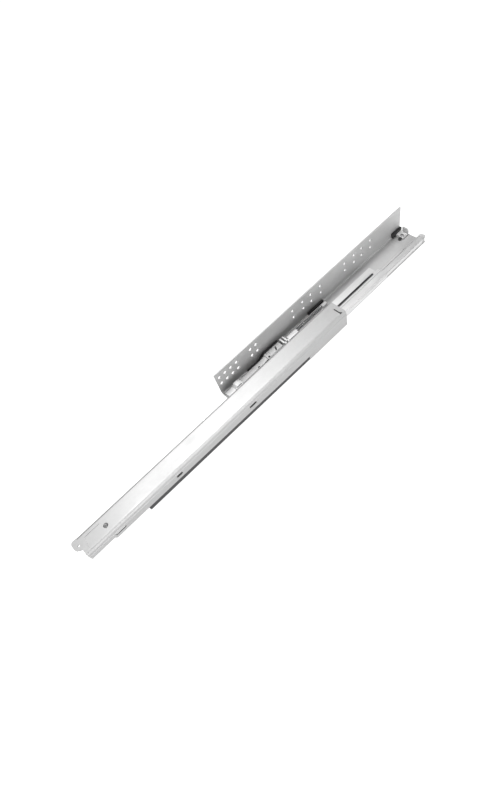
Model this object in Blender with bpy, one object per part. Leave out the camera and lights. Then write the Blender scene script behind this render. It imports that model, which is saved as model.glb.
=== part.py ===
"""Concealed soft-close drawer slide, left hand, 400 mm, modelled partly pulled out.

Lengths are in metres. The world origin is the centre of the face that is screwed to the cabinet's side.
+X points from the cabinet's side towards the drawer, +Y to the back of the cabinet, +Z up.
Inside this file a "datum" point (x, y, z) is measured from the bracket's front lower outer corner.
"""

import math

import bmesh
import bpy
from mathutils import Vector

MM = 0.001

# Travel: how far the drawer member is pulled out in the modelled pose.
PULLED_OUT = 169.0 * MM

# Cabinet bracket: an upright flange and a flat shelf, folded from one sheet.
BRACKET_LENGTH = 341.0 * MM
FLANGE_HEIGHT = 40.0 * MM
BRACKET_SHEET = 1.5 * MM
BRACKET_BEND = 3.2 * MM
SHELF_WIDTH = 42.9 * MM
HOLE_RADIUS = 2.3 * MM
REAR_HOLE_RADIUS = 2.05 * MM
HOLE_ROWS = (18.5 * MM, 30.0 * MM)
FRONT_HOLES = tuple((5.5 + 9.3 * i) * MM for i in range(4)) + (57.0 * MM, 66.3 * MM)
DIAGONAL_GROUP_STARTS = (131.0 * MM, 228.5 * MM)
DIAGONAL_GROUP_STEPS = (0.0, 18.0 * MM, 33.0 * MM, 50.5 * MM)

# Fixed rail, on the shelf's inner edge. Its head is wider than its web.
RAIL_SHEET = 1.2 * MM
RAIL_LEFT = 35.1 * MM
RAIL_RIGHT = 43.6 * MM
RAIL_TOP = 11.6 * MM
RAIL_HEAD_UNDERSIDE = 9.0 * MM
RAIL_FRONT = -51.5 * MM
RAIL_END_CAP = 5.0 * MM
RAIL_CAP_HEAD = 9.2 * MM

# Middle member, an inverted channel over the rail with a foot on its left.
MIDDLE_SHEET = 1.2 * MM
MIDDLE_LENGTH = 396.0 * MM
MIDDLE_REAR = 256.0 * MM
MIDDLE_LEFT = 31.3 * MM
MIDDLE_RIGHT = 46.9 * MM
MIDDLE_TOP = 16.4 * MM
MIDDLE_FOOT_LEFT = 18.0 * MM
MIDDLE_FOOT_TOP = 9.4 * MM
MIDDLE_BEAD = 1.1 * MM
MIDDLE_STEP_RIGHT = 34.9 * MM
MIDDLE_STEP_TOP = 15.4 * MM
SHOULDER_STRIP_END = 385.0 * MM

# Drawer member, the outer inverted channel.
DRAWER_SHEET = 1.5 * MM
DRAWER_LENGTH = 400.0 * MM
DRAWER_REAR = BRACKET_LENGTH - PULLED_OUT
DRAWER_FRONT = DRAWER_REAR - DRAWER_LENGTH
DRAWER_LEFT = 25.8 * MM
DRAWER_RIGHT = 52.3 * MM
DRAWER_TOP = 26.0 * MM
WALL_FOOT = 10.5 * MM
WALL_FOOT_REAR = 7.3 * MM
WALL_STEP = 0.7 * MM
WALL_STEP_TOP = 20.6 * MM
WALL_STEP_FOOT = 19.4 * MM
LEFT_BEND = 3.0 * MM
RIGHT_BEND = 3.3 * MM
REAR_SKIRT_FOOT = 1.0 * MM
NOSE_WALL_FOOT = 14.3 * MM
NOSE_LENGTH = 30.0 * MM
STRIKER_PLACE = 187.7 * MM
STRIP_START = 76.0 * MM
STRIP_END = 331.5 * MM

# Roller cages between the members.
UPPER_CAGE_LENGTH = 178.0 * MM
LOWER_CAGE_LENGTH = 190.0 * MM
ROLLER_PLACES = (-80.0 * MM, -48.0 * MM, 48.0 * MM, 80.0 * MM)
UPPER_ROLLER_RADIUS = 3.85 * MM
UPPER_ROLLER_WIDTH = 8.8 * MM
UPPER_CAGE_CENTRE = 16.0 * MM
LOWER_ROLLER_RADIUS = 1.65 * MM
LOWER_ROLLER_WIDTH = 6.4 * MM
LOWER_CAGE_CENTRE = 100.5 * MM

# Soft-close unit on the shelf, beside the flange.
CLOSER_LEFT = 6.2 * MM
CLOSER_RIGHT = 17.0 * MM
CLOSER_FRONT = 1.0 * MM
CLOSER_REAR = 126.0 * MM
CLOSER_FLOOR = 1.8 * MM
CASING_REAR = 68.4 * MM
COVER_FRONT = 69.0 * MM
COVER_REAR = 94.5 * MM
COVER_TOP = 9.8 * MM
CATCH_FRONT = 97.0 * MM
CATCH_LEFT = 11.9 * MM
CATCH_RIGHT = 15.4 * MM
CATCH_LENGTH = 26.4 * MM
ROD_X = 13.6 * MM
ROD_Z = 5.0 * MM
ROD_RADIUS = 0.8 * MM
ROD_FRONT = -69.5 * MM
SPRING_X = 9.6 * MM
SPRING_Z = 4.95 * MM
SPRING_RADIUS = 1.8 * MM
OVER_SPRING = 7.3 * MM
CORNER_CLEARANCE = ((2.2 * MM, 3.0 * MM), (3.2 * MM, 2.1 * MM), (4.6 * MM, 1.8 * MM))

GAP = 0.3 * MM
CUTTER_REACH = 5.0 * MM


# ---------------------------------------------------------------- materials


def make_material(name, colour, roughness, metallic=0.0):
    material = bpy.data.materials.new(name)
    material.use_nodes = True
    shader = material.node_tree.nodes["Principled BSDF"]
    shader.inputs["Base Color"].default_value = (*colour, 1.0)
    shader.inputs["Roughness"].default_value = roughness
    shader.inputs["Metallic"].default_value = metallic
    return material


def make_materials():
    return {
        "zinc_sheet": make_material("zinc_sheet", (0.72, 0.73, 0.74), 0.35, 1.0),
        "zinc_bracket": make_material("zinc_bracket", (0.55, 0.56, 0.57), 0.45, 1.0),
        "steel_pin": make_material("steel_pin", (0.75, 0.75, 0.76), 0.25, 1.0),
        "light_plastic": make_material("light_plastic", (0.78, 0.78, 0.77), 0.45),
        "grey_plastic": make_material("grey_plastic", (0.24, 0.24, 0.24), 0.5),
        "black_plastic": make_material("black_plastic", (0.02, 0.02, 0.022), 0.5),
        "roller_plastic": make_material("roller_plastic", (0.85, 0.85, 0.82), 0.4),
    }


# ---------------------------------------------------------------- mesh helpers


def clear_scene():
    for obj in list(bpy.data.objects):
        bpy.data.objects.remove(obj, do_unlink=True)


def add_object(name, mesh, material=None, parent=None, location=(0.0, 0.0, 0.0)):
    obj = bpy.data.objects.new(name, mesh)
    bpy.context.scene.collection.objects.link(obj)
    obj.parent = parent
    obj.location = location
    if material is not None:
        mesh.materials.append(material)
    return obj


def add_frame(name, parent, location):
    empty = bpy.data.objects.new(name, None)
    empty.empty_display_size = 0.01
    bpy.context.scene.collection.objects.link(empty)
    empty.parent = parent
    empty.location = location
    return empty


def arc(centre, radius, start_degrees, end_degrees, steps):
    """Points along an arc, ends included."""
    points = []
    for i in range(steps + 1):
        angle = math.radians(start_degrees + (end_degrees - start_degrees) * i / steps)
        x = centre[0] + radius * math.cos(angle)
        y = centre[1] + radius * math.sin(angle)
        points.append(Vector((x, y)))
    return points


def fillet(corners, radius, steps):
    """The polyline with each inner corner replaced by an arc; a corner may carry its own radius."""
    points = [Vector(corners[0][:2])]
    for before, place, after in zip(corners, corners[1:], corners[2:]):
        corner = Vector(place[:2])
        own = place[2] if len(place) > 2 else radius
        towards = (Vector(before[:2]) - corner).normalized()
        away = (Vector(after[:2]) - corner).normalized()
        half = towards.angle(away) / 2
        setback = own / math.tan(half)
        middle = corner + (towards + away).normalized() * (own / math.sin(half))
        start = corner + towards * setback - middle
        turn = start.angle_signed(corner + away * setback - middle)
        for i in range(steps + 1):
            angle = -turn * i / steps
            spun = Vector(
                (
                    start.x * math.cos(angle) - start.y * math.sin(angle),
                    start.x * math.sin(angle) + start.y * math.cos(angle),
                )
            )
            points.append(middle + spun)
    points.append(Vector(corners[-1][:2]))
    return points


def sheet_outline(corners, thickness, radius, steps=3):
    """The closed outline of a folded sheet, from the corners of its centre line."""
    line = fillet(corners, radius, steps)
    left = []
    right = []
    for i, point in enumerate(line):
        ahead = (line[i + 1] - point).normalized() if i + 1 < len(line) else None
        behind = (point - line[i - 1]).normalized() if i else None
        if ahead is None or behind is None:
            normal = Vector((-(ahead or behind).y, (ahead or behind).x))
            reach = thickness / 2
        else:
            direction = (ahead + behind).normalized()
            normal = Vector((-direction.y, direction.x))
            reach = thickness / 2 / max(0.5, direction.dot(ahead))
        left.append(point + normal * reach)
        right.append(point - normal * reach)
    return left + right[::-1]


def prism_mesh(name, outline, start, end, place):
    """A closed outline drawn at start and carried to end; place turns (u, v, along) into (x, y, z)."""
    mesh = bpy.data.meshes.new(name)
    shape = bmesh.new()
    first = [shape.verts.new(place(p[0], p[1], start)) for p in outline]
    face = shape.faces.new(first)
    moved = bmesh.ops.extrude_face_region(shape, geom=[face])
    offset = Vector(place(0, 0, end)) - Vector(place(0, 0, start))
    verts = [v for v in moved["geom"] if isinstance(v, bmesh.types.BMVert)]
    bmesh.ops.translate(shape, verts=verts, vec=offset)
    bmesh.ops.recalc_face_normals(shape, faces=shape.faces)
    shape.to_mesh(mesh)
    shape.free()
    return mesh


def along_y(u, v, along):
    return (u, along, v)


def along_x(u, v, along):
    return (along, u, v)


def along_z(u, v, along):
    return (u, v, along)


def box_mesh(name, low, high):
    outline = [(low[0], low[2]), (high[0], low[2]), (high[0], high[2]), (low[0], high[2])]
    return prism_mesh(name, outline, low[1], high[1], along_y)


def circle(centre, radius, steps):
    return arc(centre, radius, 0, 360 * (steps - 1) / steps, steps - 1)


def slot_outline(centre, length, width, steps=5):
    """A round-ended slot that runs along the first axis."""
    half = max(0.0, (length - width) / 2)
    right = arc((centre[0] + half, centre[1]), width / 2, -90, 90, steps)
    left = arc((centre[0] - half, centre[1]), width / 2, 90, 270, steps)
    return right + left


def smooth(obj, degrees=35):
    obj.data.shade_smooth()
    obj.data.set_sharp_from_angle(angle=math.radians(degrees))


def boolean(obj, other, operation):
    """Adds a Boolean modifier that takes its hidden helper from the same parent."""
    other.parent = obj.parent
    other.hide_render = True
    other.display_type = "WIRE"
    modifier = obj.modifiers.new(other.name, "BOOLEAN")
    modifier.operation = operation
    modifier.object = other
    modifier.solver = "EXACT"


def cut(obj, meshes, name="cutter"):
    """Cuts all the meshes from obj, joined into one cutter; they must not overlap one another."""
    shape = bmesh.new()
    for mesh in meshes:
        shape.from_mesh(mesh)
    joined = bpy.data.meshes.new(obj.name + "_" + name)
    shape.to_mesh(joined)
    shape.free()
    boolean(obj, add_object(obj.name + "_" + name, joined), "DIFFERENCE")


def unite(obj, name, mesh):
    boolean(obj, add_object(obj.name + "_" + name, mesh), "UNION")


# ---------------------------------------------------------------- cabinet side


def flange_holes():
    """One cylinder across the flange for each screw hole."""
    columns = [(y, HOLE_RADIUS) for y in FRONT_HOLES]
    for start in DIAGONAL_GROUP_STARTS:
        columns += [(start + step, REAR_HOLE_RADIUS) for step in DIAGONAL_GROUP_STEPS]
    cutters = []
    for y, radius in columns:
        for z in HOLE_ROWS:
            outline = circle((y, z), radius, 12)
            cutters.append(prism_mesh("hole", outline, -CUTTER_REACH, CUTTER_REACH, along_x))
    return cutters


def rivet_places():
    return (24.0 * MM, 170.0 * MM, 312.0 * MM)


RIVET_X = 31.6 * MM
RIVET_SHANK = 1.3 * MM


def make_bracket(parent, material):
    half = BRACKET_SHEET / 2
    corners = [(half, FLANGE_HEIGHT), (half, half), (SHELF_WIDTH, half)]
    outline = sheet_outline(corners, BRACKET_SHEET, BRACKET_BEND, 5)
    mesh = prism_mesh("mounting_bracket", outline, 0.0, BRACKET_LENGTH, along_y)
    bracket = add_object("mounting_bracket", mesh, material, parent)
    cutters = flange_holes()
    for y in rivet_places():
        outline = circle((RIVET_X, y), RIVET_SHANK + GAP, 10)
        cutters.append(prism_mesh("hole", outline, -CUTTER_REACH, CUTTER_REACH, along_z))
    cut(bracket, cutters)
    smooth(bracket)


def make_rail(parent, material):
    half = RAIL_SHEET / 2
    foot = BRACKET_SHEET + GAP + half
    web_left = RAIL_LEFT + 1.9 * MM
    web_right = RAIL_RIGHT - 1.9 * MM
    corners = [
        (28.6 * MM, foot),
        (web_left, foot),
        (web_left, RAIL_HEAD_UNDERSIDE + half),
        (RAIL_LEFT + half, RAIL_HEAD_UNDERSIDE + half + 0.9 * MM),
        (RAIL_LEFT + half, RAIL_TOP - half),
        (RAIL_RIGHT - half, RAIL_TOP - half),
        (RAIL_RIGHT - half, RAIL_HEAD_UNDERSIDE + half + 0.9 * MM),
        (web_right, RAIL_HEAD_UNDERSIDE + half),
        (web_right, BRACKET_SHEET + GAP),
    ]
    outline = sheet_outline(corners, RAIL_SHEET, 0.7 * MM, 2)
    rear = BRACKET_LENGTH - RAIL_END_CAP - GAP
    mesh = prism_mesh("fixed_rail", outline, RAIL_FRONT, rear, along_y)
    rail = add_object("fixed_rail", mesh, material, parent)
    cutters = []
    for y in rivet_places():
        outline = circle((RIVET_X, y), RIVET_SHANK + GAP, 10)
        cutters.append(prism_mesh("hole", outline, -CUTTER_REACH, CUTTER_REACH, along_z))
    cut(rail, cutters)
    smooth(rail)


def make_rail_end_cap(parent, material):
    """Closes the rail's rear end: a head rounded in plan on a narrower stem."""
    rear = BRACKET_LENGTH
    front = rear - RAIL_END_CAP
    radius = 2.6 * MM
    outline = [Vector((RAIL_LEFT, front)), Vector((RAIL_RIGHT, front))]
    outline += arc((RAIL_RIGHT - radius, rear - radius), radius, 0, 90, 6)
    outline += arc((RAIL_LEFT + radius, rear - radius), radius, 90, 180, 6)
    mesh = prism_mesh("rail_end_cap", outline, RAIL_CAP_HEAD, RAIL_TOP, along_z)
    cap = add_object("rail_end_cap", mesh, material, parent)
    low = (RAIL_LEFT + 1.5 * MM, front + 0.2 * MM, BRACKET_SHEET + GAP)
    high = (RAIL_RIGHT - 1.3 * MM, rear - 0.6 * MM, RAIL_CAP_HEAD + 0.5 * MM)
    unite(cap, "stem", box_mesh("stem", low, high))
    smooth(cap)


def turned_mesh(name, profile, steps, place):
    """A solid of revolution about the third axis; profile is (radius, height) pairs, poles excluded."""
    mesh = bpy.data.meshes.new(name)
    shape = bmesh.new()
    rings = []
    for radius, height in profile:
        ring = []
        for i in range(steps):
            angle = 2 * math.pi * i / steps
            point = place(radius * math.cos(angle), radius * math.sin(angle), height)
            ring.append(shape.verts.new(point))
        rings.append(ring)
    for lower, upper in zip(rings, rings[1:]):
        for i in range(steps):
            j = (i + 1) % steps
            shape.faces.new((lower[i], lower[j], upper[j], upper[i]))
    shape.faces.new(rings[0][::-1])
    shape.faces.new(rings[-1])
    bmesh.ops.recalc_face_normals(shape, faces=shape.faces)
    shape.to_mesh(mesh)
    shape.free()
    return mesh


def make_rail_rivets(parent, material):
    low = -0.9 * MM
    under = -GAP
    over = BRACKET_SHEET + GAP + RAIL_SHEET + GAP
    high = over + 0.9 * MM
    profile = [
        (1.6 * MM, low),
        (2.3 * MM, under),
        (RIVET_SHANK, under),
        (RIVET_SHANK, over),
        (2.3 * MM, over),
        (1.6 * MM, high),
    ]
    for number, y in enumerate(rivet_places(), start=1):
        mesh = turned_mesh("rail_rivet", profile, 10, along_z)
        name = "rail_rivet_%d" % number
        rivet = add_object(name, mesh, material, parent, (RIVET_X, y, 0.0))
        smooth(rivet)


def corner_section(right, top):
    """Cross-section of a bar that lies in the corner between flange and shelf."""
    return [*CORNER_CLEARANCE, (right, CLOSER_FLOOR), (right, top), (CORNER_CLEARANCE[0][0], top)]


def make_rear_stop(parent, black):
    """Black block against the flange."""
    rear = BRACKET_LENGTH
    section = corner_section(5.5 * MM, 9.0 * MM)
    mesh = prism_mesh("rear_stop", section, rear - 19.0 * MM, rear - 1.0 * MM, along_y)
    add_object("rear_stop", mesh, black, parent)


def make_rear_stop_buffer(parent, black):
    """Small black buffer on the shelf, in front of the seat."""
    rear = BRACKET_LENGTH
    low = (12.2 * MM, rear - 17.6 * MM, CLOSER_FLOOR)
    high = (15.6 * MM, rear - 13.6 * MM, 5.2 * MM)
    add_object("rear_stop_buffer", box_mesh("rear_stop_buffer", low, high), black, parent)


def make_rear_stop_seat(parent, material, steel, light):
    """Stepped seat with a headed pin, and an upright plate behind it."""
    rear = BRACKET_LENGTH
    left = 5.8 * MM
    right = 17.0 * MM
    ledge = 10.4 * MM
    outline = [
        (left, CLOSER_FLOOR),
        (right, CLOSER_FLOOR),
        (right, 4.2 * MM),
        (ledge, 4.2 * MM),
        (ledge, 5.8 * MM),
        (left, 5.8 * MM),
    ]
    mesh = prism_mesh("rear_stop_seat", outline, rear - 13.2 * MM, rear - 3.2 * MM, along_y)
    seat = add_object("rear_stop_seat", mesh, material, parent)
    pin_x = 13.8 * MM
    pin_y = rear - 10.2 * MM
    holes = [
        prism_mesh("hole", circle((pin_x, pin_y), 1.6 * MM, 16), 0.0, 9.0 * MM, along_z),
        prism_mesh("hole", circle((15.4 * MM, rear - 6.2 * MM), 1.0 * MM, 12), 0.0, 9.0 * MM, along_z),
    ]
    cut(seat, holes)
    smooth(seat)
    profile = [
        (1.3 * MM, CLOSER_FLOOR),
        (1.3 * MM, 4.9 * MM),
        (2.4 * MM, 4.9 * MM),
        (2.4 * MM, 5.5 * MM),
        (1.8 * MM, 6.1 * MM),
    ]
    mesh = turned_mesh("rear_stop_pin", profile, 16, along_z)
    pin = add_object("rear_stop_pin", mesh, steel, parent, (pin_x, pin_y, 0.0))
    smooth(pin)
    outline = [
        (7.8 * MM, CLOSER_FLOOR),
        (17.0 * MM, CLOSER_FLOOR),
        (17.0 * MM, 8.6 * MM),
        (14.6 * MM, 11.4 * MM),
        (7.8 * MM, 11.4 * MM),
    ]
    mesh = prism_mesh("rear_stop_plate", outline, rear - 2.8 * MM, rear - 1.0 * MM, along_y)
    add_object("rear_stop_plate", mesh, light, parent)


# ---------------------------------------------------------------- soft-close unit


def make_closer_tray(parent, material):
    """Open channel that holds the damper and that the catch runs in."""
    low = CLOSER_FLOOR
    wall = 1.2 * MM
    floor = low + 1.2 * MM
    left_top = 5.6 * MM
    right_top = 5.0 * MM
    outline = [
        (CLOSER_LEFT, low),
        (CLOSER_RIGHT, low),
        (CLOSER_RIGHT, right_top),
        (CLOSER_RIGHT - wall, right_top),
        (CLOSER_RIGHT - wall, floor),
        (CLOSER_LEFT + wall, floor),
        (CLOSER_LEFT + wall, left_top),
        (CLOSER_LEFT, left_top),
    ]
    mesh = prism_mesh("closer_tray", outline, CLOSER_FRONT, CLOSER_REAR, along_y)
    add_object("closer_tray", mesh, material, parent)


def make_closer_front_block(parent, material):
    """Hump that holds the damper's nose, with a low tongue in front and a shoulder over the tray's wall."""
    left = CLOSER_LEFT + 1.5 * MM
    right = CLOSER_RIGHT - 1.5 * MM
    low = CLOSER_FLOOR + 1.5 * MM
    outline = [
        (CLOSER_FRONT + 0.5 * MM, low),
        (CLOSER_FRONT + 24.0 * MM, low),
        (CLOSER_FRONT + 24.0 * MM, 9.5 * MM),
        (CLOSER_FRONT + 20.0 * MM, 11.6 * MM),
        (CLOSER_FRONT + 15.0 * MM, 11.6 * MM),
        (CLOSER_FRONT + 12.0 * MM, 7.4 * MM),
        (CLOSER_FRONT + 0.5 * MM, 7.0 * MM),
    ]
    mesh = prism_mesh("closer_front_block", outline, left, right, along_x)
    block = add_object("closer_front_block", mesh, material, parent)
    near = (right - 0.5 * MM, CLOSER_FRONT + 12.6 * MM, 5.4 * MM)
    far = (CLOSER_RIGHT - 0.1 * MM, CLOSER_FRONT + 23.6 * MM, 9.6 * MM)
    unite(block, "shoulder", box_mesh("shoulder", near, far))


def make_damper_casing(parent, material):
    """Low damper housing that ramps up to the cover; the rod slides in its bore, which has a vent."""
    left = CLOSER_LEFT + 1.5 * MM
    right = CLOSER_RIGHT - 1.5 * MM
    low = CLOSER_FLOOR + 1.5 * MM
    top = 7.3 * MM
    outline = [
        (left, low),
        (right, low),
        (right, top - 1.0 * MM),
        (right - 1.0 * MM, top),
        (left + 0.6 * MM, top),
        (left, top - 0.6 * MM),
    ]
    mesh = prism_mesh("damper_casing", outline, 25.6 * MM, CASING_REAR, along_y)
    casing = add_object("damper_casing", mesh, material, parent)
    ramp = [
        (CASING_REAR - 8.0 * MM, top - 1.4 * MM),
        (CASING_REAR, top - 1.4 * MM),
        (CASING_REAR, COVER_TOP - 0.2 * MM),
        (CASING_REAR - 1.2 * MM, COVER_TOP - 0.2 * MM),
        (CASING_REAR - 8.0 * MM, top - 0.2 * MM),
    ]
    unite(casing, "ramp", prism_mesh("ramp", ramp, left + 0.2 * MM, right - 0.2 * MM, along_x))
    bore = circle((ROD_X, ROD_Z), ROD_RADIUS + GAP, 12)
    bore_end = CASING_REAR + 1.0 * MM
    cut(casing, [prism_mesh("bore", bore, 26.6 * MM, bore_end, along_y)], "bore_cutter")
    vent = circle((ROD_X - 0.1 * MM, 54.0 * MM), 1.5 * MM, 12)
    cut(casing, [prism_mesh("vent", vent, ROD_Z, 9.0 * MM, along_z)], "vent_cutter")
    smooth(casing)


def make_closer_cover(parent, material):
    """Raised lid over the middle of the tray, with a slanting slot, a small hole and a recess."""
    left = CLOSER_LEFT + 0.2 * MM
    right = CLOSER_RIGHT - 0.6 * MM
    wall = 1.2 * MM
    top = COVER_TOP
    outline = [
        (left, 5.9 * MM),
        (left + wall, 5.9 * MM),
        (left + wall, top - wall),
        (right - wall, top - wall),
        (right - wall, 5.3 * MM),
        (right, 5.3 * MM),
        (right, top - 1.4 * MM),
        (right - 1.4 * MM, top),
        (left + 0.5 * MM, top),
        (left, top - 0.5 * MM),
    ]
    mesh = prism_mesh("closer_cover", outline, COVER_FRONT, COVER_REAR, along_y)
    cover = add_object("closer_cover", mesh, material, parent)
    slot = [
        (8.8 * MM, 86.4 * MM),
        (14.4 * MM, 83.6 * MM),
        (14.4 * MM, 85.6 * MM),
        (8.8 * MM, 88.4 * MM),
    ]
    recess = [(8.6 * MM, 71.0 * MM), (12.0 * MM, 71.0 * MM), (12.0 * MM, 76.0 * MM), (8.6 * MM, 76.0 * MM)]
    cutters = [
        prism_mesh("slot", slot, top - 2.0 * MM, top + 2.0 * MM, along_z),
        prism_mesh("hole", circle((13.9 * MM, 72.0 * MM), 1.4 * MM, 12), 8.0 * MM, 12.0 * MM, along_z),
        prism_mesh("recess", recess, top - 0.5 * MM, top + 2.0 * MM, along_z),
    ]
    cut(cover, cutters)
    smooth(cover)


def make_closer_side_bar(parent, material):
    """Black bar between flange and tray: low at the front, then ramped up beside the cover."""
    section = corner_section(CLOSER_LEFT - GAP, 8.9 * MM)
    mesh = prism_mesh("closer_side_bar", section, 42.0 * MM, 96.0 * MM, along_y)
    bar = add_object("closer_side_bar", mesh, material, parent)
    low_part = [
        (41.0 * MM, 3.8 * MM),
        (62.0 * MM, 3.8 * MM),
        (71.0 * MM, 8.9 * MM),
        (71.0 * MM, 12.0 * MM),
        (41.0 * MM, 12.0 * MM),
    ]
    cut(bar, [prism_mesh("ramp", low_part, 0.5 * MM, 8.0 * MM, along_x)])
    smooth(bar)


def make_closer_spring(parent, material):
    """The drawn spring beside the catch's path, as a close-wound tube."""
    front = 106.0 * MM
    rear = 172.0 * MM
    profile = [(SPRING_RADIUS, front), (SPRING_RADIUS, rear)]
    mesh = turned_mesh("closer_spring", profile, 16, along_y)
    location = (SPRING_X, 0.0, SPRING_Z)
    spring = add_object("closer_spring", mesh, material, parent, location)
    hole = circle((0, 0), SPRING_RADIUS - 0.8 * MM, 12)
    bore = prism_mesh("bore", hole, front - 1.0 * MM, rear + 1.0 * MM, along_y)
    cut(spring, [bore])
    spring.modifiers[0].object.location = location
    smooth(spring)


def make_closer_end_block(parent, material):
    """Black block in the corner beside the spring's rear half."""
    section = corner_section(5.0 * MM, 6.9 * MM)
    mesh = prism_mesh("closer_end_block", section, 153.0 * MM, 181.0 * MM, along_y)
    add_object("closer_end_block", mesh, material, parent)


def make_spring_anchor(parent, material):
    """Post on the rear floor that holds the spring's rear end."""
    low = (7.6 * MM, 172.4 * MM, CLOSER_FLOOR + 1.3 * MM)
    high = (SPRING_X + 2.2 * MM, 180.6 * MM, 7.0 * MM)
    add_object("spring_anchor", box_mesh("spring_anchor", low, high), material, parent)


def make_closer_rear_floor(parent, material):
    """Guide plate that carries on from the tray under the spring, with a wall along its left."""
    left = 6.5 * MM
    right = 16.4 * MM
    deck = CLOSER_FLOOR + 1.0 * MM
    wall_right = left + 0.8 * MM
    wall_top = 5.8 * MM
    outline = [
        (left, CLOSER_FLOOR),
        (right, CLOSER_FLOOR),
        (right, deck),
        (wall_right, deck),
        (wall_right, wall_top),
        (left, wall_top),
    ]
    mesh = prism_mesh("closer_rear_floor", outline, CLOSER_REAR + GAP, 181.0 * MM, along_y)
    add_object("closer_rear_floor", mesh, material, parent)


def make_catch(parent, material):
    """Slider with two ribs and a tail plate over the spring; y = 0 is the front rib's front face."""
    low = CLOSER_FLOOR + 1.5 * MM
    spine_low = (CATCH_LEFT, 0.0, low)
    spine_high = (CATCH_RIGHT, CATCH_LENGTH, OVER_SPRING + 0.3 * MM)
    catch = add_object("catch", box_mesh("catch", spine_low, spine_high), material, parent)
    for number, start in enumerate((0.1 * MM, 4.8 * MM), start=1):
        near = (6.4 * MM, start, OVER_SPRING)
        far = (CATCH_RIGHT + 0.1 * MM, start + 2.1 * MM, 11.5 * MM)
        unite(catch, "rib_%d" % number, box_mesh("rib", near, far))
    near = (9.0 * MM, 10.0 * MM, OVER_SPRING)
    far = (CATCH_RIGHT - 0.2 * MM, CATCH_LENGTH - 0.1 * MM, OVER_SPRING + 1.0 * MM)
    unite(catch, "tail", box_mesh("tail", near, far))
    rod_seat = circle((ROD_X, ROD_Z), ROD_RADIUS + GAP, 12)
    cut(catch, [prism_mesh("seat", rod_seat, -1.0 * MM, 3.6 * MM, along_y)])


def make_damper_rod(parent, material):
    profile = [(ROD_RADIUS, ROD_FRONT), (ROD_RADIUS, 3.3 * MM)]
    mesh = turned_mesh("damper_rod", profile, 12, along_y)
    rod = add_object("damper_rod", mesh, material, parent, (ROD_X, 0.0, ROD_Z))
    smooth(rod)


# ---------------------------------------------------------------- middle member


def make_middle(parent, material):
    """Foot, left wall, stepped top, and a right wall with an outward bead and an inward lip."""
    half = MIDDLE_SHEET / 2
    right = MIDDLE_RIGHT - half
    corners = [
        (MIDDLE_FOOT_LEFT, MIDDLE_FOOT_TOP - half),
        (MIDDLE_LEFT + half, MIDDLE_FOOT_TOP - half),
        (MIDDLE_LEFT + half, MIDDLE_STEP_TOP - half),
        (MIDDLE_STEP_RIGHT - 0.2 * MM, MIDDLE_STEP_TOP - half),
        (MIDDLE_STEP_RIGHT + 0.8 * MM, MIDDLE_TOP - half),
        (right, MIDDLE_TOP - half),
        (right, MIDDLE_TOP - 2.2 * MM),
        (right + MIDDLE_BEAD, MIDDLE_TOP - 3.2 * MM),
        (right, MIDDLE_TOP - 4.2 * MM),
        (right, 7.6 * MM + half),
        (43.1 * MM, 7.6 * MM + half),
    ]
    outline = sheet_outline(corners, MIDDLE_SHEET, 0.7 * MM, 2)
    mesh = prism_mesh("middle_member", outline, 0.0, MIDDLE_LENGTH, along_y)
    middle = add_object("middle_member", mesh, material, parent)
    smooth(middle)


def make_shoulder_strip(parent, material):
    """Slide strip in the rebate along the middle member's left shoulder."""
    low = (MIDDLE_LEFT + 0.5 * MM, 8.0 * MM, MIDDLE_STEP_TOP + GAP)
    high = (MIDDLE_STEP_RIGHT - 0.9 * MM, SHOULDER_STRIP_END, MIDDLE_TOP + 0.2 * MM)
    add_object("shoulder_strip", box_mesh("shoulder_strip", low, high), material, parent)


def make_middle_buffer(parent, material):
    """Block inside the middle member's front end, which meets the rail when shut."""
    low = (MIDDLE_LEFT + 2.0 * MM, 0.4 * MM, 9.8 * MM)
    high = (MIDDLE_RIGHT - 2.0 * MM, 3.4 * MM, MIDDLE_STEP_TOP - MIDDLE_SHEET - GAP)
    add_object("middle_buffer", box_mesh("middle_buffer", low, high), material, parent)


# ---------------------------------------------------------------- drawer member


def make_drawer_member(parent, material):
    """Inverted channel, its right wall stepped out; its frame's y = 0 is its straight front edge."""
    half = DRAWER_SHEET / 2
    corners = [
        (DRAWER_LEFT + half, WALL_FOOT),
        (DRAWER_LEFT + half, DRAWER_TOP - half, LEFT_BEND),
        (DRAWER_RIGHT - WALL_STEP - half, DRAWER_TOP - half, RIGHT_BEND),
        (DRAWER_RIGHT - WALL_STEP - half, WALL_STEP_TOP, 0.9 * MM),
        (DRAWER_RIGHT - half, WALL_STEP_FOOT, 0.9 * MM),
        (DRAWER_RIGHT - half, REAR_SKIRT_FOOT),
    ]
    outline = sheet_outline(corners, DRAWER_SHEET, 1.9 * MM, 4)
    mesh = prism_mesh("drawer_member", outline, 0.0, DRAWER_LENGTH, along_y)
    member = add_object("drawer_member", mesh, material, parent)
    add_front_lug(member)
    cut(member, wall_cutters() + top_cutters())
    smooth(member)


def add_front_lug(member):
    """Round tongue that carries on from the top plate, at the left of the front."""
    outline = [Vector((42.5 * MM, 1.0 * MM)), Vector((42.5 * MM, -0.2 * MM))]
    outline += arc((35.6 * MM, -0.9 * MM), 5.9 * MM, -20, -90, 4)
    outline += arc((30.3 * MM, -3.3 * MM), 3.5 * MM, -90, -180, 4)
    outline += [Vector((26.8 * MM, 1.0 * MM))]
    low = DRAWER_TOP - DRAWER_SHEET
    unite(member, "lug", prism_mesh("lug", outline, low, DRAWER_TOP, along_z))


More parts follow.
